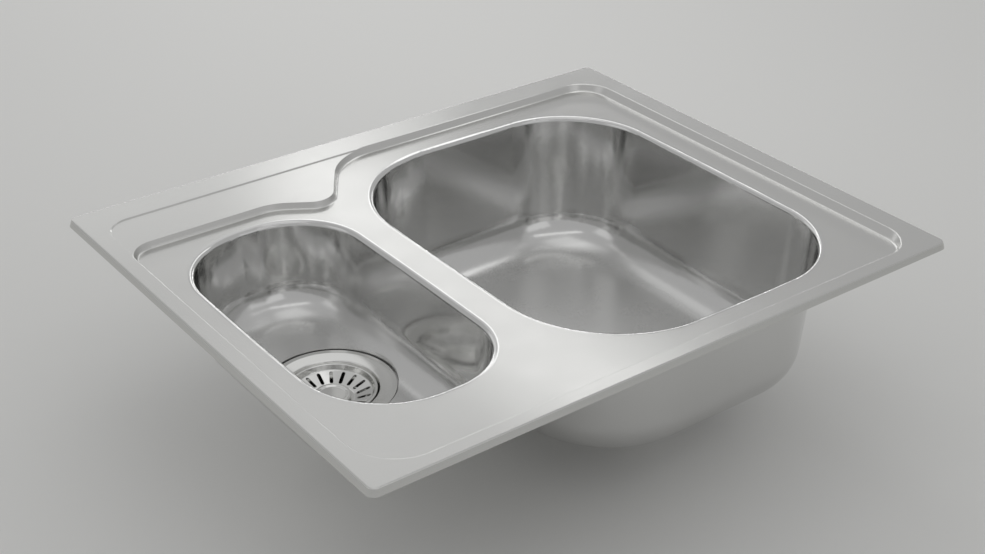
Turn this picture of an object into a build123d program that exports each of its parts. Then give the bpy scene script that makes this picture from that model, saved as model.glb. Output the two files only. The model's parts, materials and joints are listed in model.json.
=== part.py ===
from build123d import *
import math
import os

# Inset stainless steel kitchen sink with a main bowl and a half bowl, sizes in mm.
# Z = 0 is the worktop's surface and the origin is the middle of the sink's outline.
# X runs along the long side, with the main bowl at +X. +Y is the back, where the tap goes.

# ---------------------------------------------------------------- driving sizes
sheet = 1.0  # steel of the deck and the bowls
thin = 0.8  # steel of the small pressed pieces
touch_gap = 0.4  # between pieces that move past each other
pin_fit = 0.05  # radial, a pin or a screw in its hole

overall_width = 615.0
overall_depth = 500.0
cutout_margin = 10.0  # the worktop's cut-out is this much inside the outline
rim_height = 6.5
lip_flare = 2.0  # how far the lip leans out at its foot
lip_corner = 8.0

# From the outline to the top of the step, on each side
rim_left = 17.0
rim_right = 24.0
rim_front = 15.5
rim_back = 31.0
deck_drop = 7.0  # from the rim's top to the sunk deck
step_run = 2.6  # how far the step slopes in
step_run_right = 5.8
step_edge = 1.4
step_foot = 2.2
corner_front_left = 45.0
corner_right = 35.0

# The tap ledge behind the half bowl, and the S-shaped step that ends it
ledge_drop = 1.0
ledge_depth = 50.4
ledge_corner = 27.0
ledge_end_corner = 25.0
ledge_dip_in = (196.5, 79.7)  # from the left and the back, where the step's slanted runs would meet
dip_rise = 56.3  # degrees, the run to the right of the dip
dip_fall = 31.7  # degrees, the run to its left
dip_radii = (68.0, 21.0, 50.0)  # back, dip and front bends of the S

# Bowls: the margins from the step to their openings at the deck, and their walls
main_margin_right = 37.0
main_margin_front = 29.0
main_margin_back = 31.5
divider = 37.5  # between the two openings
main_depth = 147.0  # from the rim's top to the bowl's floor
main_corners = (111.0, 94.0)  # at the left and at the right
main_floor_r = 40.0
half_width = 160.0
half_margin_left = 24.5
half_margin_front = 67.0
half_margin_back = 24.1  # to the ledge's step
half_depth = 96.0
half_corners = (78.0, 66.0)
half_floor_r = 32.0
bow = 2.0  # how far the sides curve out
draft = 4.0  # degrees
roll = 3.5  # inside radius of the bend from the deck into a bowl
weld_flat = 1.0  # flat of the bowl's flange outside the bend

# Basket strainer wastes, 90 mm
main_waste_off = (0.0, -53.0)  # from the bowl's middle
half_waste_off = (2.0, 15.5)
seat_drop = 3.0
seat_gap = 1.2
seat_rise = 12.0  # how far up the round recess cuts into the bottom bend
flange_r = 57.0
flange_flat_r = 52.5
cup_r = 42.0
cup_slope = 1.8  # fall of the flange from its flat ring to the cup
cup_foot_r = 33.0
cup_depth = 22.0
floor_hole_r = 49.0
flange_seal_t = 1.0
under_gasket_t = 2.0
body_flange_t = 4.0
body_wall = 3.5
body_gap = 2.0  # between the steel cup and the plastic body
sump = 4.0  # height of the body's chamber under the cup
outlet_r = 23.9  # G 1 1/2 thread
outlet_bore_r = 19.5
outlet_length = 23.0
outlet_shoulder = 1.0
thread_turns = 7
thread_pitch = 2.31
thread_depth = 1.0
drain_hole_r = 4.4
drain_hole_circle = 12.0
drain_holes = 6
spider_ribs = 3
spider_rib = 3.0
spider_boss_r = 6.0
screw_r = 3.0
screw_head_r = 5.5
screw_head_h = 3.0

# Basket
basket_lip_r = 39.8
basket_lip_width = 2.4
basket_lip_drop = 2.4  # from the flange's top down to the basket's lip
basket_skirt = 2.5
dish_r = 35.5
dish_drop = 5.2
dish_floor_r = 19.5
dish_fall = 5.5
slots = 18
slot_width = 3.3
slot_inner_r = 21.5
slot_outer_r = 34.0
knob_r = 16.5
knob_height = 4.6
knob_edge = 3.2
knob_hollow = 0.9
knob_neck_r = 9.0
stem_r = 3.0
plug_r = 21.0
plug_lip = 3.0
plug_t = 2.8
plug_disc_r = 9.0
plug_disc_t = 1.0

# Overflow, in the middle of the main bowl's wall on the half bowl's side
overflow_below_rim = 45.0
overflow_r = 28.0
overflow_hole_r = 22.0
overflow_plate_t = 1.6
overflow_slots = 8
overflow_slot = (11.0, 3.2)
overflow_slot_circle = 12.5
overflow_gasket_t = 2.0
housing_depth = 19.0
housing_wall = 2.5
overflow_screw_r = 2.0
overflow_head_r = 4.0
overflow_boss_r = 4.5
pipe_r = 7.5
pipe_wall = 1.5
pipe_bend = 32.0
socket_wall = 2.0
socket_length = 15.0
socket_bore_r = 5.8

# Damping pads and sealing strip
pad_t = 3.0
main_pad_sides = 28.5  # from the waste's hole to the pad's sides
main_pad_front = 14.5  # from that hole to the pad's front
main_pad_margin = 65.0  # from the bowl's opening at the back to the pad
half_pad_margin = 42.0
pad_corner = 12.0
pad_hole_gap = 4.8  # round the recess that a waste sits in
strip_width = 6.0
strip_margin = 3.3  # from the outline to the strip

# Fixing clips
clip_from_corner = (58.0, 55.0, 55.0, 50.0)  # left front, left back, right front, right back
clip_back_from_corner = 162.5
clip_pin_inset = 17.0  # from the cut-out's edge to the pin
clip_pin_z = -9.0
clip_pin_r = 2.0
clip_width = 16.0
clip_sheet = 1.5
bracket_base = 14.0
bracket_reach = 6.0  # from the pin to the near end of the base
ear_r = 5.0
claw_sheet = 2.0
claw_eye_r = 4.4
claw_leg = 36.0
claw_foot = 33.0
claw_screw_at = 27.0
claw_boss_r = 5.0
claw_boss_h = 3.0
clamp_r = 2.5
clamp_travel = 11.0  # fits worktops of 28 to 38 mm
clamp_head_r = 5.0
clamp_head_h = 4.0
clamp_pad_r = 3.6
clamp_pad_h = 2.0

# ---------------------------------------------------------------- worked out from them
rim_top = rim_height
deck_top = rim_top - deck_drop
deck_under = deck_top - sheet
left = -overall_width / 2 + rim_left
right = overall_width / 2 - rim_right
front = -overall_depth / 2 + rim_front
back = overall_depth / 2 - rim_back
ledge_y = back - ledge_depth
ledge_dip = (left + ledge_dip_in[0], back - ledge_dip_in[1])
ledge_top = rim_top - ledge_drop
ledge_under = ledge_top - sheet
lip_taper = math.degrees(math.atan2(lip_flare, rim_height))
lip_wall = sheet / math.cos(math.radians(lip_taper))


def between(low_x, high_x, low_y, high_y):
    """The middle and the size of an opening between these four sides."""
    return ((low_x + high_x) / 2, (low_y + high_y) / 2), (high_x - low_x, high_y - low_y)


half_left = left + half_margin_left
half_right = half_left + half_width
half_centre, half_size = between(
    half_left, half_right, front + half_margin_front, ledge_y - half_margin_back
)
main_left = half_right + divider
main_centre, main_size = between(
    main_left, right - main_margin_right, front + main_margin_front, back - main_margin_back
)
main_waste_at = (main_centre[0] + main_waste_off[0], main_centre[1] + main_waste_off[1])
half_waste_at = (half_centre[0] + half_waste_off[0], half_centre[1] + half_waste_off[1])
flange_band = roll + sheet + weld_flat  # from a bowl's opening to its weld
pad_hole_r = flange_r + seat_gap + sheet + pad_hole_gap
clamp_reach = claw_sheet / 2 + claw_boss_h + touch_gap + clamp_travel + clamp_pad_h

os.makedirs("parts", exist_ok=True)


def keep(piece, name):
    """Label a finished piece and write it."""
    piece.part.label = name
    export_step(piece.part, f"parts/{name}.step")


def upright(x, y, z):
    """A vertical plane for profiles turned about the Z line through (x, y)."""
    return Plane(origin=(x, y, z), x_dir=(1, 0, 0), z_dir=(0, -1, 0))


def profile(points, radii=0):
    """A closed outline with its corners rounded."""
    with BuildSketch(mode=Mode.PRIVATE) as face:
        with BuildLine():
            FilletPolyline(*points, radius=radii, close=True)
        make_face()
    return face.sketch


def turned(plane, points, radii=0):
    """The solid that the profile makes when it turns about the plane's own upright."""
    face = plane * profile(points, radii)
    return revolve(face, axis=Axis(plane.origin, plane.y_dir), mode=Mode.PRIVATE)


# ---------------------------------------------------------------- deck
def deck_outline(z, run, run_right):
    """The sunk deck's outline at height z, drawn in from the top of the step by `run`."""
    rise, fall = math.radians(dip_rise), math.radians(dip_fall)
    to_right = Vector(math.sin(rise), -math.cos(rise))
    to_left = Vector(-math.sin(fall), -math.cos(fall))
    dip = Vector(*ledge_dip) + (to_right + to_left) * (run / (1 + to_right.dot(to_left)))
    top, shelf = back - run, ledge_y - run
    points = [
        (left + run, front + run),
        (right - run_right, front + run),
        (right - run_right, top),
        (dip.X + (top - dip.Y) / math.tan(rise), top),
        (dip.X, dip.Y),
        (dip.X - (shelf - dip.Y) / math.tan(fall), shelf),
        (left + run, shelf),
    ]
    bend_back, bend_dip, bend_front = dip_radii
    radii = [
        corner_front_left - run,
        corner_right - run_right,
        corner_right - run_right,
        bend_back - run,
        bend_dip + run,
        bend_front - run,
        ledge_end_corner - run,
    ]
    return Plane.XY.offset(z) * profile(points, radii)


# The well is the hollow that the step goes round, and its outside is one sheet further out
with BuildPart() as well:
    add(deck_outline(deck_top, step_run, step_run_right))
    add(deck_outline(rim_top, 0, 0))
    loft()

with BuildPart() as well_outside:
    add(deck_outline(deck_under, step_run - sheet, step_run_right - sheet))
    add(deck_outline(rim_top, -sheet, -sheet))
    loft()

# The ledge is a shallow flat behind the S step, with a bevelled edge
ledge_right = ledge_dip[0] + (back - ledge_dip[1]) / math.tan(math.radians(dip_rise))
ledge_right += dip_radii[0] * math.tan(math.radians(dip_rise / 2))
ledge_width = ledge_right - left - ledge_drop
ledge_reach = back - ledge_drop - (ledge_y - 1.5 * ledge_end_corner)


def ledge_form(grow, depth, slope):
    with BuildPart() as form:
        with BuildSketch(Plane((ledge_right, back - ledge_drop + grow, rim_top))) as flat:
            Rectangle(ledge_width + grow, ledge_reach, align=(Align.MAX, Align.MAX))
            corner = flat.vertices().group_by(Axis.X)[0].sort_by(Axis.Y)[-1]
            fillet(corner, ledge_corner + grow)
        extrude(amount=depth, dir=(0, 0, -1), taper=slope)
    return form.part


with BuildPart() as under_rim:
    with BuildSketch():
        RectangleRounded(overall_width - 2 * lip_wall, overall_depth - 2 * lip_wall, lip_corner - lip_wall)
    extrude(amount=rim_height - sheet, taper=lip_taper)
    add(well_outside.part, mode=Mode.SUBTRACT)

ledge = ledge_form(0, ledge_drop, 45)
under_ledge = ledge_form(sheet, ledge_drop + sheet, 0)


def bowl_outline(size, corners, grow=0.0):
    """A bowl's opening: four slightly bowed sides with round corners, grown outward by `grow`."""
    side_x, side_y = size[0] / 2 + grow, size[1] / 2 + grow
    corner_x, corner_y = side_x - bow, side_y - bow
    with BuildSketch(mode=Mode.PRIVATE) as outline:
        with BuildLine():
            ThreePointArc((-corner_x, -corner_y), (0, -side_y), (corner_x, -corner_y))
            ThreePointArc((corner_x, -corner_y), (side_x, 0), (corner_x, corner_y))
            ThreePointArc((corner_x, corner_y), (0, side_y), (-corner_x, corner_y))
            ThreePointArc((-corner_x, corner_y), (-side_x, 0), (-corner_x, -corner_y))
        make_face()
        widest = min(corner_x, corner_y) - bow / 2
        for radius, end in zip(corners, (0, -1)):
            fillet(outline.vertices().group_by(Axis.X)[end], min(radius + grow, widest))
    return outline.sketch


main_shape = (main_size, main_corners)
half_shape = (half_size, half_corners)
main_weld = bowl_outline(*main_shape, grow=flange_band)
half_weld = bowl_outline(*half_shape, grow=flange_band)

with BuildPart() as sink_deck:
    with BuildSketch():
        RectangleRounded(overall_width, overall_depth, lip_corner)
    extrude(amount=rim_height, taper=lip_taper)
    add(well_outside.part)
    add(well.part, mode=Mode.SUBTRACT)
    rim_edges = sink_deck.edges().filter_by_position(Axis.Z, rim_top - 0.01, rim_top + 0.01)
    fillet(rim_edges, step_edge)
    foot_edges = sink_deck.edges().filter_by_position(Axis.Z, deck_top - 0.01, deck_top + 0.01)
    fillet(foot_edges, step_foot)
    add(ledge, mode=Mode.SUBTRACT)
    add(under_rim.part - under_ledge, mode=Mode.SUBTRACT)
    for weld, centre in ((main_weld, main_centre), (half_weld, half_centre)):
        with BuildSketch(Plane((centre[0], centre[1], deck_under))):
            add(weld)
        extrude(amount=sheet, mode=Mode.SUBTRACT)
keep(sink_deck, "sink_deck")


# ---------------------------------------------------------------- bowls
def inner_edges(piece, z):
    """The edges round the hole in the level face at height z."""
    level = piece.faces().filter_by(Axis.Z).filter_by_position(Axis.Z, z - 0.01, z + 0.01)
    return level.sort_by(SortBy.AREA)[-1].inner_wires()[0].edges()


def bowl_body(shape, centre, depth, floor_r, grow):
    """The drafted body of a bowl from the deck down, with its bottom bend."""
    height = depth - deck_drop + grow
    with BuildPart() as body:
        with BuildSketch(Plane((centre[0], centre[1], deck_top - height))):
            add(bowl_outline(*shape, grow=grow - height * math.tan(math.radians(draft))))
        with BuildSketch(Plane((centre[0], centre[1], deck_top))):
            add(bowl_outline(*shape, grow=grow))
        loft()
        fillet(body.faces().sort_by(Axis.Z)[0].edges(), floor_r + grow)
    return body.part


def bowl(shape, centre, depth, floor_r, waste_at, name, overflow=None):
    floor_z = rim_top - depth
    seat_z = floor_z - seat_drop
    seat_r = flange_r + seat_gap
    outside = bowl_body(shape, centre, depth, floor_r, sheet)
    inside = bowl_body(shape, centre, depth, floor_r, 0.0)
    with BuildPart() as piece:
        add(outside)
        with BuildSketch(Plane((centre[0], centre[1], deck_under))):
            add(bowl_outline(*shape, grow=flange_band))
        extrude(amount=sheet)
        fillet(inner_edges(piece, deck_under), roll)
        with BuildSketch(Plane((waste_at[0], waste_at[1], seat_z - sheet))):
            Circle(seat_r + sheet)
        extrude(amount=seat_rise)
        add(inside, mode=Mode.SUBTRACT)
        fillet(inner_edges(piece, deck_top), roll + sheet)
        with BuildSketch(Plane((waste_at[0], waste_at[1], seat_z))):
            Circle(seat_r)
        extrude(amount=seat_rise, mode=Mode.SUBTRACT)
        with BuildSketch(Plane((waste_at[0], waste_at[1], seat_z - sheet))):
            Circle(floor_hole_r)
        extrude(amount=sheet, mode=Mode.SUBTRACT)
        if overflow is not None:
            add(overflow, mode=Mode.SUBTRACT)
    keep(piece, name)
    return piece


# The overflow's own plane lies on the inner face of the wall and looks out through it
wall_lean = math.radians(draft)
overflow_z = rim_top - overflow_below_rim
overflow_x = main_centre[0] - main_size[0] / 2 + (deck_top - overflow_z) * math.tan(wall_lean)
overflow_at = (overflow_x, main_centre[1], overflow_z)


def through_wall(out):
    """The plane parallel to the wall, `out` millimetres beyond its inner face."""
    face = Plane(origin=overflow_at, x_dir=(0, 1, 0), z_dir=(-math.cos(wall_lean), 0, -math.sin(wall_lean)))
    return face.offset(out)


with BuildPart() as overflow_hole:
    with BuildSketch(through_wall(-overflow_gasket_t)):
        Circle(overflow_hole_r)
    extrude(amount=2 * overflow_gasket_t + sheet)

main_bowl = bowl(
    main_shape, main_centre, main_depth, main_floor_r, main_waste_at, "main_bowl", overflow_hole.part
)
half_bowl = bowl(half_shape, half_centre, half_depth, half_floor_r, half_waste_at, "half_bowl")


# ---------------------------------------------------------------- basket strainer wastes
def disc(x, y, z, height, outer_r, inner_r=0.0):
    with BuildPart(mode=Mode.PRIVATE) as ring:
        with BuildSketch(Plane((x, y, z))):
            Circle(outer_r)
            if inner_r:
                Circle(inner_r, mode=Mode.SUBTRACT)
        extrude(amount=height)
    return ring.part


# Heights in a waste, from its flange's top down
seat_level = -(sheet + flange_seal_t)
body_level = seat_level - sheet - under_gasket_t
cup_under = -cup_depth - sheet
body_floor = cup_under - sump
body_under = body_floor - body_wall
outlet_end = body_under - outlet_length
body_top_r = cup_r + sheet + body_gap
body_foot_r = cup_foot_r + sheet + body_gap
body_flange_r = flange_r - 2 * sheet
inlet_level = (body_level - body_flange_t + body_under) / 2  # the middle of the body's side
inlet_r = (body_top_r + body_foot_r) / 2 + body_wall


def flange_top(depth):
    """Height of a waste's flange in a bowl of this depth."""
    return rim_top - depth - seat_drop - seat_level


def waste(at, depth, bowl_name, inlet=None):
    x, y = at
    top = flange_top(depth)
    axis_plane = upright(x, y, top)

    slope = math.atan2(cup_slope, flange_flat_r - cup_r)
    lean = math.atan2(cup_r - cup_foot_r, cup_depth - cup_slope)
    under_flat = flange_flat_r + sheet * math.tan(slope / 2)
    under_slope = -cup_slope - sheet * math.tan((math.pi / 2 - lean - slope) / 2)
    hole_r = screw_r + touch_gap
    flange_points = [
        (flange_r, 0),
        (flange_flat_r, 0),
        (cup_r, -cup_slope),
        (cup_foot_r, -cup_depth),
        (hole_r, -cup_depth),
        (hole_r, cup_under),
        (cup_foot_r + sheet * math.tan((math.pi / 2 - lean) / 2), cup_under),
        (cup_r + sheet / math.cos(lean), under_slope),
        (under_flat, -sheet),
        (flange_r, -sheet),
    ]
    flange_bends = [0.4, 3.0, 1.5, 3.0, 0, 0, 3.0 + sheet, 1.5 + sheet, 2.0, 0.4]
    with BuildPart() as flange:
        add(turned(axis_plane, flange_points, flange_bends))
        with BuildSketch(Plane((x, y, top + cup_under))):
            with PolarLocations(drain_hole_circle, drain_holes):
                Circle(drain_hole_r)
        extrude(amount=sheet, mode=Mode.SUBTRACT)
    keep(flange, f"{bowl_name}_waste_flange")

    with BuildPart() as flange_seal:
        add(disc(x, y, top + seat_level, flange_seal_t, flange_r - sheet, flange_flat_r + sheet / 2))
    keep(flange_seal, f"{bowl_name}_flange_seal")

    with BuildPart() as under_gasket:
        add(disc(x, y, top + body_level, under_gasket_t, body_flange_r, floor_hole_r))
    keep(under_gasket, f"{bowl_name}_under_gasket")

    body_points = [
        (body_top_r, body_level),
        (body_flange_r, body_level),
        (body_flange_r, body_level - body_flange_t),
        (body_top_r + body_wall, body_level - body_flange_t),
        (body_foot_r + body_wall, body_under),
        (outlet_r, body_under),
        (outlet_r, outlet_end),
        (outlet_bore_r, outlet_end),
        (outlet_bore_r, body_under),
        (outlet_bore_r - outlet_shoulder, body_under),
        (outlet_bore_r - outlet_shoulder, body_floor),
        (body_foot_r, body_floor),
    ]
    body_bends = [0, 1, 1, 1.5, 5, 1.5, 1, 0.5, 0, 0, 1, 3]
    chamber = [(0, body_level), (body_top_r, body_level), (body_foot_r, body_floor), (0, body_floor)]
    with BuildPart() as body:
        add(turned(axis_plane, body_points, body_bends))
        if inlet is not None:
            add(inlet[0])
            add(turned(axis_plane, chamber, [0, 0, 3, 0]), mode=Mode.SUBTRACT)
            add(inlet[1], mode=Mode.SUBTRACT)
        for turn in range(thread_turns):
            groove = outlet_end + (turn + 1) * thread_pitch
            groove_points = [
                (outlet_r + 0.1, groove - thread_pitch * 0.4),
                (outlet_r + 0.1, groove + thread_pitch * 0.4),
                (outlet_r - thread_depth, groove),
            ]
            add(turned(axis_plane, groove_points), mode=Mode.SUBTRACT)
        with BuildSketch(Plane((x, y, top + body_under))):
            with PolarLocations(0, spider_ribs):
                Rectangle(outlet_bore_r + sheet, spider_rib, align=(Align.MIN, Align.CENTER))
        extrude(amount=body_wall)
        add(disc(x, y, top + body_under, cup_under - body_under, spider_boss_r))
        add(disc(x, y, top + body_under, cup_under - body_under, screw_r + pin_fit), mode=Mode.SUBTRACT)
    keep(body, f"{bowl_name}_waste_body")

    head_z = -cup_depth
    screw_points = [
        (0, head_z + screw_head_h),
        (screw_head_r, head_z + screw_head_h),
        (screw_head_r, head_z),
        (screw_r, head_z),
        (screw_r, body_under),
        (0, body_under),
    ]
    with BuildPart() as clamp_screw:
        add(turned(axis_plane, screw_points, [0, 2, 0, 0, 0.5, 0]))
        with BuildSketch(Plane((x, y, top + head_z + screw_head_h / 2))):
            Rectangle(1.3 * screw_head_r, 0.25 * screw_head_r)
            Rectangle(0.25 * screw_head_r, 1.3 * screw_head_r)
        extrude(amount=screw_head_h / 2, mode=Mode.SUBTRACT)
    keep(clamp_screw, f"{bowl_name}_clamp_screw")
    basket(x, y, top, bowl_name)


def basket(x, y, top, bowl_name):
    axis_plane = upright(x, y, top)
    lip_z = -basket_lip_drop
    wall_r = basket_lip_r - basket_lip_width
    dish_z = lip_z - dish_drop
    floor_z = dish_z - dish_fall
    fall = thin * math.hypot(1, dish_fall / (dish_r - dish_floor_r))
    hole_r = stem_r + pin_fit
    basket_points = [
        (basket_lip_r, lip_z - basket_skirt),
        (basket_lip_r, lip_z),
        (wall_r, lip_z),
        (dish_r, dish_z),
        (dish_floor_r, floor_z),
        (hole_r, floor_z),
        (hole_r, floor_z - thin),
        (dish_floor_r, floor_z - thin),
        (dish_r + thin / 2, dish_z - fall + thin / 4),
        (wall_r + thin, lip_z - thin),
        (basket_lip_r - thin, lip_z - thin),
        (basket_lip_r - thin, lip_z - basket_skirt),
    ]
    basket_bends = [0, 1.0, 0.9, 1.5, 3.0, 0, 0, 3.0, 1.5, 0, 0, 0]
    with BuildPart() as dish:
        add(turned(axis_plane, basket_points, basket_bends))
        with BuildSketch(Plane((x, y, top + floor_z - 2 * thin))):
            with PolarLocations((slot_inner_r + slot_outer_r) / 2, slots):
                SlotOverall(slot_outer_r - slot_inner_r, slot_width)
        extrude(amount=dish_fall + 3 * thin, mode=Mode.SUBTRACT)
    keep(dish, f"{bowl_name}_basket")

    knob_top = floor_z + knob_height
    knob_points = [
        (0, floor_z),
        (knob_neck_r, floor_z),
        (knob_neck_r, knob_top - knob_edge),
        (knob_r, knob_top - knob_edge),
        (knob_r, knob_top),
        (knob_r - knob_edge, knob_top),
        (knob_r - 1.5 * knob_edge, knob_top - knob_hollow),
        (0, knob_top - knob_hollow),
    ]
    with BuildPart() as knob:
        add(turned(axis_plane, knob_points, [0, 0, 0.8, 0.8, 1.6, 1.0, 1.0, 0]))
    keep(knob, f"{bowl_name}_basket_knob")

    plug_low = -cup_depth + touch_gap
    plug_under = plug_low + plug_lip
    plug_top = plug_under + plug_t
    stem_points = [
        (0, floor_z),
        (stem_r, floor_z),
        (stem_r, plug_top + plug_disc_t),
        (plug_disc_r, plug_top + plug_disc_t),
        (plug_disc_r, plug_top),
        (0, plug_top),
    ]
    with BuildPart() as stem:
        add(turned(axis_plane, stem_points, [0, 0, 0.5, 0.3, 0, 0]))
    keep(stem, f"{bowl_name}_basket_stem")

    seal_points = [
        (0, plug_top),
        (plug_r, plug_top),
        (plug_r, plug_low),
        (plug_r - plug_lip, plug_low),
        (plug_r - plug_lip, plug_under),
        (0, plug_under),
    ]
    with BuildPart() as seal:
        add(turned(axis_plane, seal_points, [0, 1, 0.8, 0.8, 0.5, 0]))
    keep(seal, f"{bowl_name}_basket_seal")


# ---------------------------------------------------------------- overflow and its pipe
socket_r = pipe_r + pin_fit + socket_wall
housing_r = overflow_hole_r + housing_wall
gasket_out = sheet + overflow_gasket_t
pipe_x = overflow_at[0] - (gasket_out + socket_r + touch_gap) * math.cos(wall_lean)
pipe_y = overflow_at[1]
pipe_top = overflow_z - housing_r - touch_gap
run_z = flange_top(main_depth) + inlet_level
to_waste = Vector(main_waste_at[0] - pipe_x, main_waste_at[1] - pipe_y)
run_dir = to_waste.normalized()
run_length = to_waste.length - inlet_r
run_plane = Plane(origin=(pipe_x, pipe_y, 0), x_dir=run_dir, z_dir=(run_dir.Y, -run_dir.X, 0))
run_start = Plane(origin=(pipe_x, pipe_y, run_z), z_dir=run_dir)

with BuildPart() as inlet_socket:
    with BuildSketch(run_start.offset(run_length - socket_length)):
        Circle(socket_r)
    extrude(amount=socket_length + 2 * body_wall)

with BuildPart() as inlet_bore:
    with BuildSketch(run_start.offset(run_length - socket_length)):
        Circle(pipe_r + pin_fit)
    extrude(amount=socket_length)
    with BuildSketch(run_start.offset(run_length)):
        Circle(socket_bore_r)
    extrude(amount=2 * body_wall)

waste(main_waste_at, main_depth, "main", (inlet_socket.part, inlet_bore.part))
waste(half_waste_at, half_depth, "half")

with BuildPart() as overflow_grille:
    with BuildSketch(through_wall(-overflow_plate_t)):
        Circle(overflow_r)
    extrude(amount=overflow_plate_t + sheet / 2)
    chamfer(overflow_grille.faces().sort_by(Axis.X)[-1].edges(), 0.8)
    with BuildSketch(through_wall(-overflow_plate_t)):
        with PolarLocations(overflow_slot_circle, overflow_slots):
            SlotOverall(*overflow_slot)
        Circle(overflow_screw_r + touch_gap)
    extrude(amount=overflow_plate_t + sheet, mode=Mode.SUBTRACT)
    add(main_bowl.part, mode=Mode.SUBTRACT)
keep(overflow_grille, "overflow_grille")

with BuildPart() as overflow_gasket:
    with BuildSketch(through_wall(sheet / 2)):
        Circle(overflow_r)
        Circle(overflow_hole_r, mode=Mode.SUBTRACT)
    extrude(amount=gasket_out - sheet / 2)
    add(main_bowl.part, mode=Mode.SUBTRACT)
keep(overflow_gasket, "overflow_gasket")

with BuildPart() as overflow_housing:
    with BuildSketch(through_wall(gasket_out)):
        Circle(overflow_r)
    extrude(amount=housing_wall)
    with BuildSketch(through_wall(gasket_out)):
        Circle(housing_r)
    extrude(amount=housing_depth)
    with BuildSketch(Plane((pipe_x, pipe_y, pipe_top - socket_length))):
        Circle(socket_r)
    extrude(amount=socket_length + housing_r)
    with BuildSketch(through_wall(gasket_out)):
        Circle(overflow_hole_r)
    extrude(amount=housing_depth - housing_wall, mode=Mode.SUBTRACT)
    with BuildSketch(Plane((pipe_x, pipe_y, pipe_top - socket_length))):
        Circle(pipe_r + pin_fit)
    extrude(amount=socket_length, mode=Mode.SUBTRACT)
    with BuildSketch(Plane((pipe_x, pipe_y, pipe_top))):
        Circle(socket_bore_r)
    extrude(amount=housing_r, mode=Mode.SUBTRACT)
    with BuildSketch(through_wall(sheet)):
        Circle(overflow_boss_r)
    extrude(amount=gasket_out + housing_depth - 2 * sheet)
    with BuildSketch(through_wall(sheet)):
        Circle(overflow_screw_r + pin_fit)
    extrude(amount=housing_depth, mode=Mode.SUBTRACT)
keep(overflow_housing, "overflow_housing")

with BuildPart() as overflow_screw:
    with BuildSketch(through_wall(-overflow_plate_t - 1.5 * sheet)):
        Circle(overflow_head_r)
    extrude(amount=1.5 * sheet)
    fillet(overflow_screw.faces().sort_by(Axis.X)[-1].edges(), sheet)
    with BuildSketch(through_wall(-overflow_plate_t)):
        Circle(overflow_screw_r)
    extrude(amount=overflow_plate_t + housing_depth)
keep(overflow_screw, "overflow_screw")

with BuildPart() as overflow_pipe:
    with BuildLine(run_plane) as pipe_route:
        FilletPolyline((0, pipe_top), (0, run_z), (run_length, run_z), radius=pipe_bend)
    with BuildSketch(Plane(origin=(pipe_x, pipe_y, pipe_top), z_dir=(0, 0, -1))):
        Circle(pipe_r)
        Circle(pipe_r - pipe_wall, mode=Mode.SUBTRACT)
    sweep(path=pipe_route.line)
keep(overflow_pipe, "overflow_pipe")

# ---------------------------------------------------------------- pads and sealing strip
main_pad_z = rim_top - main_depth - sheet - pad_t
half_pad_z = rim_top - half_depth - sheet - pad_t

main_pad_reach = pad_hole_r + main_pad_sides
main_pad_ends = (
    main_waste_at[1] - pad_hole_r - main_pad_front,
    main_centre[1] + main_size[1] / 2 - main_pad_margin,
)
main_pad_centre, main_pad = between(
    main_waste_at[0] - main_pad_reach, main_waste_at[0] + main_pad_reach, *main_pad_ends
)

with BuildPart() as main_damping_pad:
    with BuildSketch(Plane((main_pad_centre[0], main_pad_centre[1], main_pad_z))):
        RectangleRounded(*main_pad, pad_corner)
    extrude(amount=pad_t)
    add(disc(*main_waste_at, main_pad_z, pad_t, pad_hole_r), mode=Mode.SUBTRACT)
keep(main_damping_pad, "main_damping_pad")

# The half bowl's pad lies in front of its waste
half_pad_sides = (half_left + half_pad_margin, half_right - half_pad_margin)
half_pad_ends = (front + half_margin_front + half_pad_margin, half_waste_at[1] - pad_hole_r)
half_pad_centre, half_pad = between(*half_pad_sides, *half_pad_ends)

with BuildPart() as half_damping_pad:
    with BuildSketch(Plane((half_pad_centre[0], half_pad_centre[1], half_pad_z))):
        RectangleRounded(*half_pad, pad_corner)
    extrude(amount=pad_t)
keep(half_damping_pad, "half_damping_pad")

with BuildPart() as sealing_strip:
    with BuildSketch():
        width, depth = overall_width - 2 * strip_margin, overall_depth - 2 * strip_margin
        RectangleRounded(width, depth, lip_corner - strip_margin)
        inner = (width - 2 * strip_width, depth - 2 * strip_width)
        Rectangle(*inner, mode=Mode.SUBTRACT)
    extrude(amount=rim_height - sheet)
keep(sealing_strip, "sealing_strip")

# ---------------------------------------------------------------- fixing clips
outward = {"left": (-1, 0), "right": (1, 0), "front": (0, -1), "back": (0, 1)}
left_front, left_back, right_front, right_back = clip_from_corner
clips = [
    ("left", -overall_depth / 2 + left_front),
    ("left", overall_depth / 2 - left_back),
    ("right", -overall_depth / 2 + right_front),
    ("right", overall_depth / 2 - right_back),
    ("front", half_right + divider / 2),
    ("back", -overall_width / 2 + clip_back_from_corner),
]


def clip_frame(side, along):
    """The upright plane across a clip: x points out of the sink, y up, the pin at its origin."""
    out_x, out_y = outward[side]
    reach_x = overall_width / 2 - cutout_margin - clip_pin_inset
    reach_y = overall_depth / 2 - cutout_margin - clip_pin_inset
    origin = (out_x * reach_x, along, clip_pin_z) if out_x else (along, out_y * reach_y, clip_pin_z)
    return Plane(origin=origin, x_dir=(out_x, out_y, 0), z_dir=(out_y, -out_x, 0))


def clip_ceiling(side, along):
    """Height of the sheet over a clip, from its pin: the ledge or the sunk deck."""
    frame = clip_frame(side, along)
    under_the_ledge = frame.origin.Y > ledge_y and frame.origin.X < ledge_dip[0]
    return (ledge_under if under_the_ledge else deck_under) - clip_pin_z


bracket_near = -bracket_reach
bracket_far = -bracket_reach - bracket_base

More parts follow.
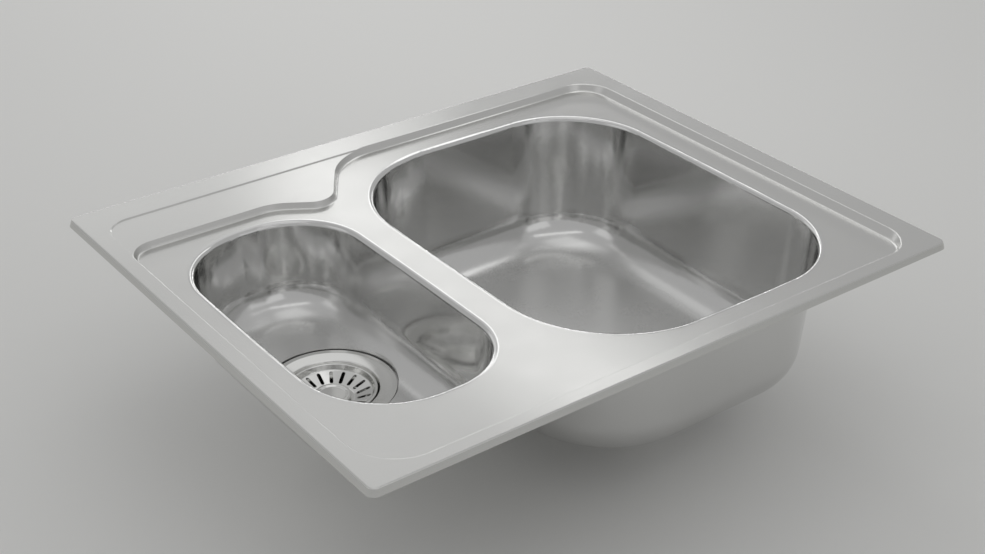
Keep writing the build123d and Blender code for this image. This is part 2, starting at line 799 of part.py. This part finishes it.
with BuildPart() as clip_brackets:
    for side, along in clips:
        frame = clip_frame(side, along)
        ceiling = clip_ceiling(side, along)
        ear = [
            (bracket_far, ceiling),
            (bracket_far, ceiling - ear_r),
            (-ear_r, -ear_r),
            (ear_r, -ear_r),
            (ear_r, ear_r),
            (bracket_near, ceiling),
        ]
        ear_face = profile(ear, [0, 2, 2, ear_r - 0.1, ear_r - 0.1, 0])
        with BuildSketch(frame):
            with Locations(((bracket_near + bracket_far) / 2, ceiling)):
                Rectangle(bracket_base, clip_sheet, align=(Align.CENTER, Align.MAX))
        extrude(amount=clip_width / 2, both=True)
        for end in (-clip_width / 2, clip_width / 2 - clip_sheet):
            with BuildSketch(frame.offset(end)):
                add(ear_face)
            extrude(amount=clip_sheet)
        with BuildSketch(frame):
            Circle(clip_pin_r)
        extrude(amount=clip_width, both=True, mode=Mode.SUBTRACT)
keep(clip_brackets, "clip_brackets")

with BuildPart() as clip_pins:
    for side, along in clips:
        with BuildSketch(clip_frame(side, along)):
            Circle(clip_pin_r)
        extrude(amount=clip_width / 2 + 1, both=True)
keep(clip_pins, "clip_pins")

claw_half_width = clip_width / 2 - clip_sheet - touch_gap
for number, (side, along) in enumerate(clips, 1):
    frame = clip_frame(side, along)
    screw_plane = Plane(
        origin=frame.from_local_coords((-claw_leg, -claw_screw_at, 0)), x_dir=frame.z_dir, z_dir=frame.x_dir
    )

    with BuildPart() as claw:
        half_sheet = claw_sheet / 2
        strip = [
            (0, half_sheet),
            (-claw_leg - half_sheet, half_sheet),
            (-claw_leg - half_sheet, -claw_foot),
            (-claw_leg + half_sheet, -claw_foot),
            (-claw_leg + half_sheet, -half_sheet),
            (0, -half_sheet),
        ]
        with BuildSketch(frame):
            add(profile(strip, [0, 2.5 + claw_sheet, 0.5, 0.5, 2.5, 0]))
            Circle(claw_eye_r)
            Circle(clip_pin_r + pin_fit, mode=Mode.SUBTRACT)
        extrude(amount=claw_half_width, both=True)
        with BuildSketch(screw_plane):
            Circle(claw_boss_r)
        extrude(amount=half_sheet + claw_boss_h)
        with BuildSketch(screw_plane.offset(-claw_sheet)):
            Circle(clamp_r + pin_fit)
        extrude(amount=2 * claw_sheet + claw_boss_h, mode=Mode.SUBTRACT)
    keep(claw, f"clip_claw_{number}")

    with BuildPart() as clamp:
        with BuildSketch(screw_plane.offset(-half_sheet - touch_gap - clamp_head_h)):
            RegularPolygon(clamp_head_r, 6)
        extrude(amount=clamp_head_h)
        with BuildSketch(screw_plane.offset(-half_sheet - touch_gap)):
            Circle(clamp_r)
        extrude(amount=half_sheet + touch_gap + clamp_reach)
        with BuildSketch(screw_plane.offset(clamp_reach - clamp_pad_h)):
            Circle(clamp_pad_r)
        extrude(amount=clamp_pad_h)
    keep(clamp, f"clip_screw_{number}")
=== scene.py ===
# %% [markdown]
# # A double bowl kitchen sink
#
# This lesson dresses the CAD model of an inset stainless steel sink. The sink's shapes are exact already, so
# most of the work is in the finishes: steel looks like steel only through what it reflects, so the lamps and
# the roughness matter more than the colour. A few pieces that CAD keeps plain are modelled again by hand.

import json
import math

import bmesh
import bpy
from mathutils import Matrix, Vector


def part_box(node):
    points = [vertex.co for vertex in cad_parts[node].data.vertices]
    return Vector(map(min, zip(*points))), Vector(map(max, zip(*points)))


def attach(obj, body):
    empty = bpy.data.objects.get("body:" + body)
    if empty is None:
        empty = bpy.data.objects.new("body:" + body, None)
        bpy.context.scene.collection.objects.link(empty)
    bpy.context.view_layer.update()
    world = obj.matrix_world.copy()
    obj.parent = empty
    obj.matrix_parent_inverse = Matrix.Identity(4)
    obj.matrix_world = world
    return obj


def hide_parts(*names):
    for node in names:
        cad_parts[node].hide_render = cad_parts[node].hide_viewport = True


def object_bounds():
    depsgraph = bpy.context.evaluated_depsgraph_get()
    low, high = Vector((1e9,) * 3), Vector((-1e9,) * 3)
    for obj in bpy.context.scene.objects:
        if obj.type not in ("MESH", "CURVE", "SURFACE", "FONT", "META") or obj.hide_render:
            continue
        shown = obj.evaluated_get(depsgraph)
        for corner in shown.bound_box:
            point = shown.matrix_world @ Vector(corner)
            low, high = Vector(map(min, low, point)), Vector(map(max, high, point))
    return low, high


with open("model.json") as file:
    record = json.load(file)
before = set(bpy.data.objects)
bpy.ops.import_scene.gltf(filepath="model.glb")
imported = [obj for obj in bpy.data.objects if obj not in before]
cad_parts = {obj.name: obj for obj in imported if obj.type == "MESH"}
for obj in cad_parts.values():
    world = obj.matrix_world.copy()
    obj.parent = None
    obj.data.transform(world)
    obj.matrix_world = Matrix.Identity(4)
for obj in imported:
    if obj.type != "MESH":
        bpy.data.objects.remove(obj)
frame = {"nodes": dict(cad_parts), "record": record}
cad_box = [list(corner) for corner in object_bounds()]
print("the CAD box in metres:", [[round(v, 4) for v in corner] for corner in cad_box])

# %% [markdown]
# ## Colours and nodes
#
# Colours are picked on screen, so they are written as sRGB hex values. Blender mixes light in linear values,
# so one function turns each colour to linear. A second function adds a shader node with its settings and its
# links, which keeps each material below to the few lines that matter.


# %% Helpers for colours and nodes
def linear(hex_colour):
    """An sRGB hex colour as linear RGBA."""
    parts = [int(hex_colour[i : i + 2], 16) / 255 for i in (1, 3, 5)]
    return [v / 12.92 if v <= 0.04045 else ((v + 0.055) / 1.055) ** 2.4 for v in parts] + [1.0]


def add_node(tree, kind, settings=None, **inputs):
    """A shader node of this kind. Inputs are values, or another node's socket to link from."""
    node = tree.nodes.new(kind)
    for name, value in (settings or {}).items():
        setattr(node, name, value)
    for name, value in inputs.items():
        by_number = name[0] == "i" and name[1:].isdigit()
        socket = node.inputs[int(name[1:]) if by_number else name.replace("_", " ")]
        if isinstance(value, bpy.types.NodeSocket):
            tree.links.new(value, socket)
        else:
            socket.default_value = value
    return node


def new_material(name):
    """A material, its tree, which holds only the texture coordinates, and the place on the object in metres.
    """
    material = bpy.data.materials.new(name)
    material.use_nodes = True
    tree = material.node_tree
    tree.nodes.clear()
    place = add_node(tree, "ShaderNodeTexCoord").outputs["Object"]
    return material, tree, place


def finish_material(tree, surface):
    add_node(tree, "ShaderNodeOutputMaterial", Surface=surface)


# %% [markdown]
# ## Stainless steel, satin and polished
#
# The whole sink is cold-rolled stainless steel. The deck is ground with a fine belt along its long side, and
# the bowls are polished after they are drawn. Steel shows little colour of its own: the eye reads it from
# how sharp its reflections are, and from how they wander. So each steel gets three details. Hair-thin
# scratches from the belt or the polishing wheel vary its roughness. They are a few hundredths of a
# millimetre wide, too fine to show here, so they are drawn a few tenths wide. Slow clouds, a few centimetres
# across, make some places a little duller than others, as handling does. And the pressed sheet is never
# quite flat, so a slow, very shallow wave bends the reflections. In a bowl the polishing wheel reaches the
# walls better than the floor, and the floor is also what wears, so it is duller there.


# %% Stainless steel
CLOUD_SCALE = 25.0  # clouds per metre
CLOUD_WEIGHT = 1.5  # of the clouds against the scratches
MIX_RANGE = (0.85, 1.65)  # what clouds and scratches mostly add up to
WAVE_SCALE = 30.0  # waves per metre
WAVE_DEPTH = 0.00002  # metres
FLOOR_BLEND = 0.025  # metres above a bowl's floor over which it turns from dull to polished


def stainless_steel(
    name, colour, roughness, along, hair=0.0004, length=0.03, spread=0.02, floor=None
):
    """Ground or polished steel. `along` is the axis that its scratches follow, and `hair` and `length` are
    their width and length in metres. Its roughness varies by `spread` either way. `floor` is the height of a
    bowl's floor, with the roughness there."""
    material, tree, place = new_material(name)
    scale = [1 / hair] * 3
    scale["XYZ".index(along)] = 1 / length
    squeezed = add_node(tree, "ShaderNodeMapping", Vector=place, Scale=scale).outputs["Vector"]
    hairs = add_node(
        tree, "ShaderNodeTexNoise", Vector=squeezed, Scale=1.0, Detail=2.0
    ).outputs["Fac"]
    clouds = add_node(
        tree, "ShaderNodeTexNoise", Vector=place, Scale=CLOUD_SCALE, Detail=3.0
    ).outputs["Fac"]
    both = add_node(
        tree, "ShaderNodeMath", {"operation": "MULTIPLY_ADD"}, i0=clouds, i1=CLOUD_WEIGHT, i2=hairs
    ).outputs[0]
    rough = add_node(
        tree,
        "ShaderNodeMapRange",
        Value=both,
        From_Min=MIX_RANGE[0],
        From_Max=MIX_RANGE[1],
        To_Min=roughness - spread,
        To_Max=roughness + spread,
    ).outputs[0]
    if floor:
        floor_height, floor_roughness = floor
        height = add_node(tree, "ShaderNodeSeparateXYZ", Vector=place).outputs["Z"]
        duller = add_node(
            tree,
            "ShaderNodeMapRange",
            {"interpolation_type": "SMOOTHSTEP"},
            Value=height,
            From_Min=floor_height,
            From_Max=floor_height + FLOOR_BLEND,
            To_Min=floor_roughness - roughness,
            To_Max=0.0,
        ).outputs[0]
        rough = add_node(
            tree, "ShaderNodeMath", {"operation": "ADD"}, i0=rough, i1=duller
        ).outputs[0]
    swell = add_node(
        tree, "ShaderNodeTexNoise", Vector=place, Scale=WAVE_SCALE, Detail=1.0
    ).outputs["Fac"]
    bump = add_node(
        tree, "ShaderNodeBump", Height=swell, Strength=1.0, Distance=WAVE_DEPTH
    ).outputs[0]
    steel = add_node(
        tree,
        "ShaderNodeBsdfPrincipled",
        Base_Color=linear(colour),
        Metallic=1.0,
        Roughness=rough,
        Normal=bump,
    )
    finish_material(tree, steel.outputs[0])
    return material


satin_steel = stainless_steel("satin_stainless_steel", "#d4d4d2", 0.24, "X")
bright_steel = stainless_steel("bright_polished_steel", "#e6e6e4", 0.10, "Z", length=0.0006)
bowl_steels = {}
worn_roughness = 0.28
for bowl, waste in (("main_bowl", "main_waste_flange"), ("half_bowl", "half_waste_flange")):
    floor_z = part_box(waste)[1][2]
    bowl_steels[bowl] = stainless_steel(
        f"polished_drawn_steel_{bowl}",
        "#d6d6d5",
        0.13,
        "Z",
        hair=0.0006,
        spread=0.012,
        floor=(floor_z, worn_roughness),
    )
    print(bowl, "floor at", round(floor_z, 4))

# %% [markdown]
# ## Zinc plate, rubber, foam, felt and plastic
#
# The clips are folded from mild steel and plated with zinc, which grows in small crystals, so its gloss is
# patchy. The seals are black nitrile rubber with a fine grain. The strip under the rim is closed-cell foam.
# The pads that quieten the bowls are felt-like bitumen sheet, and the waste bodies and the overflow's
# housing and pipe are moulded polypropylene.


# %% The plainer materials
CRYSTAL_SCALE = 500.0  # zinc crystals per metre


def scaled_colour(tree, colour, factor):
    """The colour, made darker or lighter by a node's value."""
    scaled = add_node(
        tree, "ShaderNodeVectorMath", {"operation": "SCALE"}, i0=linear(colour)[:3], Scale=factor
    )
    return scaled.outputs[0]


def plated_zinc(name, colour):
    """Zinc plate. Each crystal has its own gloss and shade."""
    material, tree, place = new_material(name)
    crystals = add_node(
        tree, "ShaderNodeTexVoronoi", Vector=place, Scale=CRYSTAL_SCALE
    ).outputs["Color"]
    patchy = add_node(tree, "ShaderNodeSeparateColor", Color=crystals).outputs[0]
    rough = add_node(
        tree, "ShaderNodeMapRange", Value=patchy, To_Min=0.28, To_Max=0.45
    ).outputs[0]
    tint = add_node(
        tree, "ShaderNodeMapRange", Value=patchy, To_Min=0.85, To_Max=1.0
    ).outputs[0]
    mixed = scaled_colour(tree, colour, tint)
    zinc = add_node(
        tree, "ShaderNodeBsdfPrincipled", Base_Color=mixed, Metallic=1.0, Roughness=rough
    )
    finish_material(tree, zinc.outputs[0])
    return material


def grained(name, colour, roughness, grain, depth, variation=0.12):
    """A non-metal with a grain of this size and depth, in metres, that varies its shade by `variation`."""
    material, tree, place = new_material(name)
    speckle = add_node(
        tree, "ShaderNodeTexNoise", Vector=place, Scale=1 / grain, Detail=4.0
    ).outputs["Fac"]
    shade = add_node(
        tree, "ShaderNodeMapRange", Value=speckle, To_Min=1 - variation, To_Max=1 + variation
    ).outputs[0]
    tinted = scaled_colour(tree, colour, shade)
    bump = add_node(
        tree, "ShaderNodeBump", Height=speckle, Strength=0.6, Distance=depth
    ).outputs[0]
    body = add_node(
        tree,
        "ShaderNodeBsdfPrincipled",
        Base_Color=tinted,
        Roughness=roughness,
        IOR=1.5,
        Normal=bump,
    )
    finish_material(tree, body.outputs[0])
    return material


zinc_plate = plated_zinc("zinc_plated_steel", "#b9bcc2")
nitrile_rubber = grained("nitrile_rubber", "#1c1c1d", 0.6, 0.0008, 0.00003)
closed_cell_foam = grained("closed_cell_foam", "#2b2b2c", 0.85, 0.0012, 0.0003, variation=0.3)
bitumen_felt = grained("bitumen_felt", "#4a4a4c", 0.9, 0.0015, 0.0002, variation=0.25)
polypropylene = grained("moulded_polypropylene", "#e4e4e0", 0.4, 0.0006, 0.00001, variation=0.03)

# %% Give each CAD node its material
finishes = {
    "satin_steel": satin_steel,
    "polished_steel": bright_steel,
    "zinc_steel": zinc_plate,
    "black_rubber": nitrile_rubber,
    "foam": closed_cell_foam,
    "damping_felt": bitumen_felt,
    "white_plastic": polypropylene,
}
for part in frame["record"]["subparts"]:
    node = frame["nodes"][part["node"]]
    node.data.materials.clear()
    node.data.materials.append(bowl_steels.get(part["node"]) or finishes[part["material_slot"]])

# %% [markdown]
# ## The clamp screws
#
# Each clip pulls the sink down with an M5 screw. CAD keeps it a plain rod, because a cut thread would cost
# thousands of faces there. Here one screw is modelled at the origin, along Z with its head down. The head
# starts as a six-sided cylinder and has its lower corners bevelled. The thread is a V turned up a helix by
# the Screw modifier. Copies of the screw are then laid into the six places that CAD gives.


# %% Helpers for modelling by hand
def start_fresh():
    """Leave any edit and select nothing, so that the next operator acts on the next piece alone."""
    if bpy.context.object and bpy.context.object.mode != "OBJECT":
        bpy.ops.object.mode_set(mode="OBJECT")
    bpy.ops.object.select_all(action="DESELECT")


def pick_edges(piece, wanted):
    """In edit mode, select just the edges whose two ends pass the test."""
    bpy.ops.mesh.select_all(action="DESELECT")
    mesh = bmesh.from_edit_mesh(piece.data)
    for edge in mesh.edges:
        edge.select_set(all(wanted(vertex.co) for vertex in edge.verts))
    mesh.select_flush_mode()
    bmesh.update_edit_mesh(piece.data)


def apply_all(piece):
    """Apply the piece's modifiers and its place."""
    bpy.context.view_layer.objects.active = piece
    for modifier in list(piece.modifiers):
        bpy.ops.object.modifier_apply(modifier=modifier.name)
    bpy.ops.object.transform_apply(location=True, rotation=True, scale=True)


# %% One clamp screw
# In metres. Heights are above the middle of the claw's sheet that the screw goes through
shank_r = 0.0025
thread_pitch = 0.0008
thread_depth = 0.0005
thread_steps = 20  # in each turn
head_r, head_h, head_bevel = 0.005, 0.004, 0.0006
head_top = -0.0014
pad_r, pad_h, pad_bevel = 0.0036, 0.002, 0.0003
pad_sides = 32
screw_tip = 0.0174
tolerance = 1e-6

# The head, a hexagon with its lower corners taken off
start_fresh()
bpy.ops.mesh.primitive_cylinder_add(
    vertices=6,
    radius=head_r,
    depth=head_h,
    location=(0, 0, head_top - head_h / 2),
    end_fill_type="NGON",
)
head = bpy.context.object
bpy.ops.object.transform_apply(location=True, rotation=True, scale=True)
bpy.ops.object.mode_set(mode="EDIT")
pick_edges(head, lambda place: place.z < head_top - head_h / 2)
bpy.ops.mesh.bevel(offset=head_bevel, segments=3)
bpy.ops.object.mode_set(mode="OBJECT")

# The thread, one V of its pitch turned up the shank
start_fresh()
turns = int((screw_tip - pad_h - head_top) / thread_pitch)
bpy.ops.mesh.primitive_circle_add(vertices=4, radius=thread_pitch / 2, fill_type="NOTHING")
thread = bpy.context.object
bpy.ops.object.mode_set(mode="EDIT")
bpy.ops.transform.rotate(value=math.pi / 2, orient_axis="X", center_override=(0, 0, 0))
bpy.ops.transform.resize(value=(2 * thread_depth / thread_pitch, 1, 1), center_override=(0, 0, 0))
pick_edges(thread, lambda place: place.x < tolerance)
bpy.ops.mesh.delete(type="EDGE")
bpy.ops.mesh.select_all(action="SELECT")
bpy.ops.transform.translate(value=(shank_r - thread_depth, 0, head_top + thread_pitch / 2))
bpy.ops.object.mode_set(mode="OBJECT")
helix = thread.modifiers.new("helix", "SCREW")
helix.axis = "Z"
helix.steps = helix.render_steps = thread_steps
helix.screw_offset = thread_pitch
helix.iterations = turns
helix.use_merge_vertices = True
apply_all(thread)
bpy.ops.object.mode_set(mode="EDIT")
bpy.ops.mesh.select_all(action="SELECT")
bpy.ops.mesh.remove_doubles(threshold=tolerance)
bpy.ops.mesh.select_all(action="DESELECT")
bpy.ops.mesh.select_non_manifold()
bpy.ops.mesh.edge_face_add()
bpy.ops.mesh.select_all(action="SELECT")
bpy.ops.mesh.normals_make_consistent(inside=False)
bpy.ops.object.mode_set(mode="OBJECT")

# The swivel pad that presses on the worktop
start_fresh()
bpy.ops.mesh.primitive_cylinder_add(
    vertices=pad_sides,
    radius=pad_r,
    depth=pad_h,
    location=(0, 0, screw_tip - pad_h / 2),
    end_fill_type="NGON",
)
pad = bpy.context.object
bpy.ops.object.transform_apply(location=True, rotation=True, scale=True)
bpy.ops.object.mode_set(mode="EDIT")
bpy.ops.mesh.select_all(action="SELECT")
bpy.ops.mesh.bevel(offset=pad_bevel, segments=2)
bpy.ops.object.mode_set(mode="OBJECT")

start_fresh()
for piece in (thread, pad, head):
    piece.select_set(True)
bpy.context.view_layer.objects.active = head
bpy.ops.object.join()
bpy.ops.object.shade_smooth_by_angle(angle=math.radians(35))
model_screw = head
print("one screw:", len(model_screw.data.polygons), "faces,", turns, "turns of thread")

# %% Lay a copy into each claw
# The way that each screw points while its claw is folded
outward = {1: (-1, 0), 2: (-1, 0), 3: (1, 0), 4: (1, 0), 5: (0, -1), 6: (0, 1)}
length = head_h - head_top + screw_tip
for number, (out_x, out_y) in outward.items():
    low, high = (Vector(corner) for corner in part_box(f"clip_screw_{number}"))
    aim = Vector((out_x, out_y, 0))
    origin = (low + high) / 2 - aim * (screw_tip - length / 2)
    turn = aim.to_track_quat("Z", "Y").to_matrix().to_4x4()
    start_fresh()
    screw = model_screw.copy()
    screw.data = model_screw.data.copy()
    screw.name = f"clamp_screw_{number}"
    bpy.context.scene.collection.objects.link(screw)
    screw.matrix_world = Matrix.Translation(origin) @ turn
    screw.select_set(True)
    bpy.context.view_layer.objects.active = screw
    bpy.ops.object.transform_apply(location=True, rotation=True, scale=True)
    screw.data.materials.clear()
    screw.data.materials.append(zinc_plate)
    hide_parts(f"clip_screw_{number}")
    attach(screw, f"screw_{number}")
bpy.data.objects.remove(model_screw)
print(len(outward), "clamp screws laid in")

# %% [markdown]
# ## Camera
#
# The camera stands where the photographer stood: in front of the sink and to its left, 30 degrees above the
# worktop. It is turned to look along one direction and then rolled by less than a degree.

# %% Camera
stand = (-0.7778, -1.0008, 0.6891)  # metres
camera_data = bpy.data.cameras.new("camera")
camera_data.lens = 58.62  # millimetres
camera_data.sensor_width = 36.0
camera = bpy.data.objects.new("camera", camera_data)
bpy.context.scene.collection.objects.link(camera)
sight = Vector((0.5260, 0.6880, -0.5000)).normalized()
right = Vector((0.7946, -0.6072, 0.0)).normalized()
up = right.cross(sight)
roll = math.radians(0.676)
across = math.cos(roll) * right + math.sin(roll) * up
upward = math.cos(roll) * up - math.sin(roll) * right
turn = Matrix((across, upward, -sight)).transposed()
camera.matrix_world = Matrix.Translation(stand) @ turn.to_4x4()
bpy.context.scene.camera = camera
print("camera at", [round(v, 3) for v in camera.location])

# %% [markdown]
# ## Floor and light
#
# The floor is plain and pale. Steel mirrors its surroundings, so each lamp is a panel placed for what the
# steel shows of it. A long strip hangs behind the sink at the right, and the satin deck mirrors it as a broad
# pale band between the bowls. A dimmer strip hangs to its left. Two thin lamps, one low behind and one high
# in front, draw lines of light along the rounded edges. Large soft ones at the back, front, left and top
# fill the rest, with an even grey sky.

# %% Floor
floor_gap = 0.0005  # below the lowest piece
start_fresh()
bpy.ops.mesh.primitive_plane_add(size=12, location=(0, 0, cad_box[0][2] - floor_gap))
floor = bpy.context.object
floor.name = "floor"
floor_material, floor_tree, _ = new_material("pale_floor")
paper = add_node(
    floor_tree, "ShaderNodeBsdfPrincipled", Base_Color=linear("#e6e6e4"), Roughness=0.9
)
finish_material(floor_tree, paper.outputs[0])
floor.data.materials.append(floor_material)


# %% Lamps
def softbox(name, place, aim, size, power):
    """A rectangular lamp that faces a point. Its size is in metres and its power in watts."""
    data = bpy.data.lights.new(name, "AREA")
    data.shape = "RECTANGLE"
    data.size, data.size_y = size
    data.energy = power
    lamp = bpy.data.objects.new(name, data)
    bpy.context.scene.collection.objects.link(lamp)
    lamp.location = place
    lamp.rotation_euler = (Vector(aim) - Vector(place)).to_track_quat("-Z", "Y").to_euler()


softbox("strip_light", (0.52, 0.75, 0.62), (0.52, 0.75, 0), (0.2, 1.2), 0.8)
softbox("left_strip", (0.12, 0.55, 0.62), (0.12, 0.55, 0), (0.35, 0.7), 0.16)
softbox("low_edge_light", (1.3, 1.9, 0.4), (0, 0, 0), (2.2, 0.12), 3.0)
softbox("high_edge_light", (-0.3, -0.9, 1.7), (0, 0, 0), (2.2, 0.12), 1.0)
softbox("back_softbox", (0.3, 2.4, 0.9), (0, 0, 0), (2.4, 0.8), 2.1)
softbox("front_softbox", (0.3, -2.4, 1.2), (0, 0, 0), (1.6, 1.0), 1.2)
softbox("left_softbox", (-2.0, 0.6, 1.1), (0, 0, 0), (1.2, 1.2), 1.0)
softbox("top_softbox", (0.0, 0.0, 2.4), (0, 0, 0), (1.4, 1.4), 1.8)

world = bpy.data.worlds.new("studio")
world.use_nodes = True
world.node_tree.nodes.clear()
air = add_node(world.node_tree, "ShaderNodeBackground", Color=linear("#c4c4c4"), Strength=0.94)
add_node(world.node_tree, "ShaderNodeOutputWorld", Surface=air.outputs[0])
bpy.context.scene.world = world
bpy.context.scene.view_settings.view_transform = "Standard"
